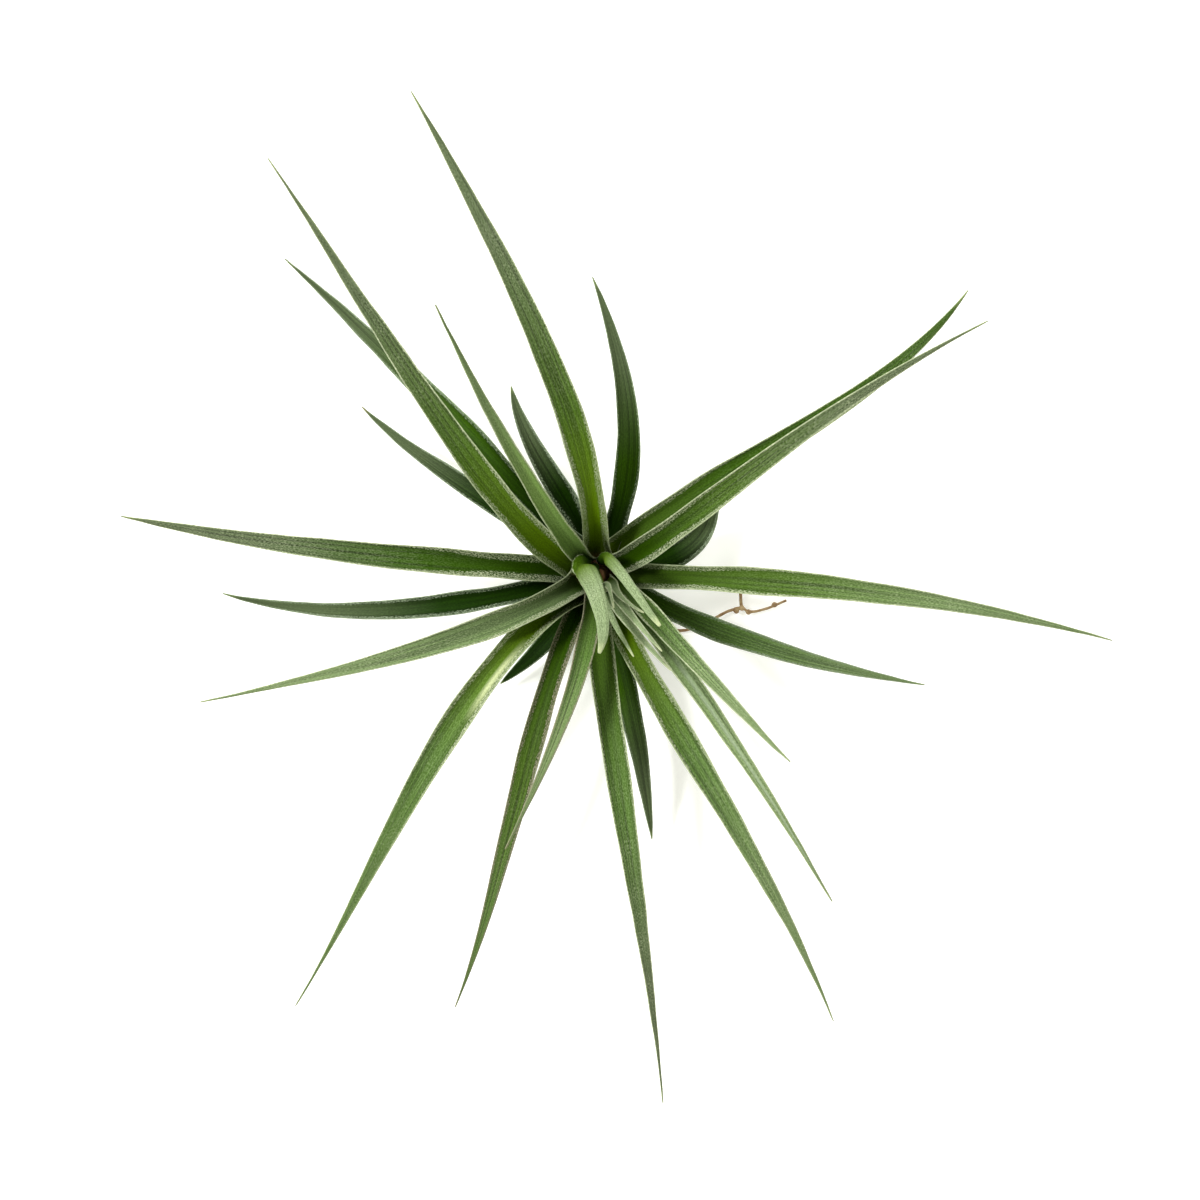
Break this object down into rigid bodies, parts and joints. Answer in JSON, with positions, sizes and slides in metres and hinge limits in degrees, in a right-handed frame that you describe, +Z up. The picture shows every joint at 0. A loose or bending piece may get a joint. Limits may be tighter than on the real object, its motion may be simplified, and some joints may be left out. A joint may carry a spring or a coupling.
{
  "type": "air plant",
  "caption": "Bare-rooted air plant: a loose rosette of long, narrow, channelled leaves that taper to fine points and arch from a short woody stem with a wiry root.",
  "frame": {"origin": "middle of the stem's flat foot, on the surface that the plant stands on", "axes": "+Z up, out of the heart of the rosette; +X to the right and +Y to the top of a view from straight above"},
  "size_m": [0.1657, 0.1739, 0.0822],
  "materials": {
    "heart_leaf": "satin, whitish with fine scurf",
    "upper_leaf": "satin, grey-green with fine lengthwise lines",
    "middle_leaf": "satin, mid green, yellow-green in the gutter",
    "lower_leaf": "satin, deep green",
    "stem": "dry and fibrous"
  },
  "bodies": {
    "root": {"heart_leaf_1": "heart_leaf", "heart_leaf_2": "heart_leaf", "heart_leaf_3": "heart_leaf", "heart_leaf_4": "heart_leaf", "heart_leaf_5": "heart_leaf", "heart_leaf_6": "heart_leaf", "heart_leaf_7": "heart_leaf", "upper_leaf_1": "upper_leaf", "upper_leaf_2": "upper_leaf", "upper_leaf_3": "upper_leaf", "upper_leaf_4": "upper_leaf", "upper_leaf_5": "upper_leaf", "upper_leaf_6": "upper_leaf", "middle_leaf_1": "middle_leaf", "middle_leaf_2": "middle_leaf", "middle_leaf_3": "middle_leaf", "middle_leaf_4": "middle_leaf", "middle_leaf_5": "middle_leaf", "middle_leaf_6": "middle_leaf", "middle_leaf_7": "middle_leaf", "middle_leaf_8": "middle_leaf", "middle_leaf_9": "middle_leaf", "lower_leaf_1": "lower_leaf", "lower_leaf_2": "lower_leaf", "lower_leaf_3": "lower_leaf", "lower_leaf_4": "lower_leaf", "lower_leaf_5": "lower_leaf", "lower_leaf_6": "lower_leaf", "lower_leaf_7": "lower_leaf", "lower_leaf_8": "lower_leaf", "lower_leaf_9": "lower_leaf", "stem_and_roots": "stem"}
  },
  "joints": []
}
